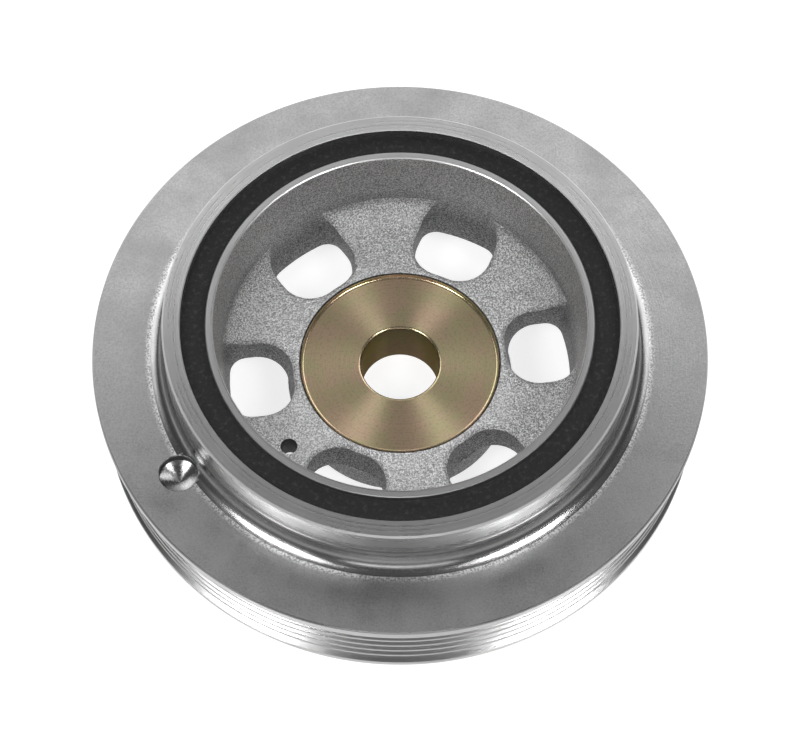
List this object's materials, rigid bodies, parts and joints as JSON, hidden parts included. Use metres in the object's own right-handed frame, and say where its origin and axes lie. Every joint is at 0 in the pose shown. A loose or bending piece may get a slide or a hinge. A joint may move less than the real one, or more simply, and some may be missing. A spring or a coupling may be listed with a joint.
{
  "type": "harmonic balancer",
  "caption": "Round crankshaft damper pulley: a grooved outer ring with a raised collar, held by a rubber ring on a cast spoked hub with a bored steel centre.",
  "frame": {"origin": "centre of the boss's rear face, on the axis of turning", "axes": "+Z along the axis of turning, out of the front with the collar and the bowl; one window is centred 7.5 degrees from +X towards +Y"},
  "size_m": [0.171, 0.171, 0.0444],
  "materials": {
    "turned_steel": "fine turned",
    "rubber": "matte",
    "cast_alloy": "blasted sand casting",
    "passivated_steel": "fine turned, yellow passivated"
  },
  "bodies": {
    "root": {"outer_ring": "turned_steel", "rubber_ring": "rubber", "hub": "cast_alloy", "centre_insert": "passivated_steel"}
  },
  "joints": []
}
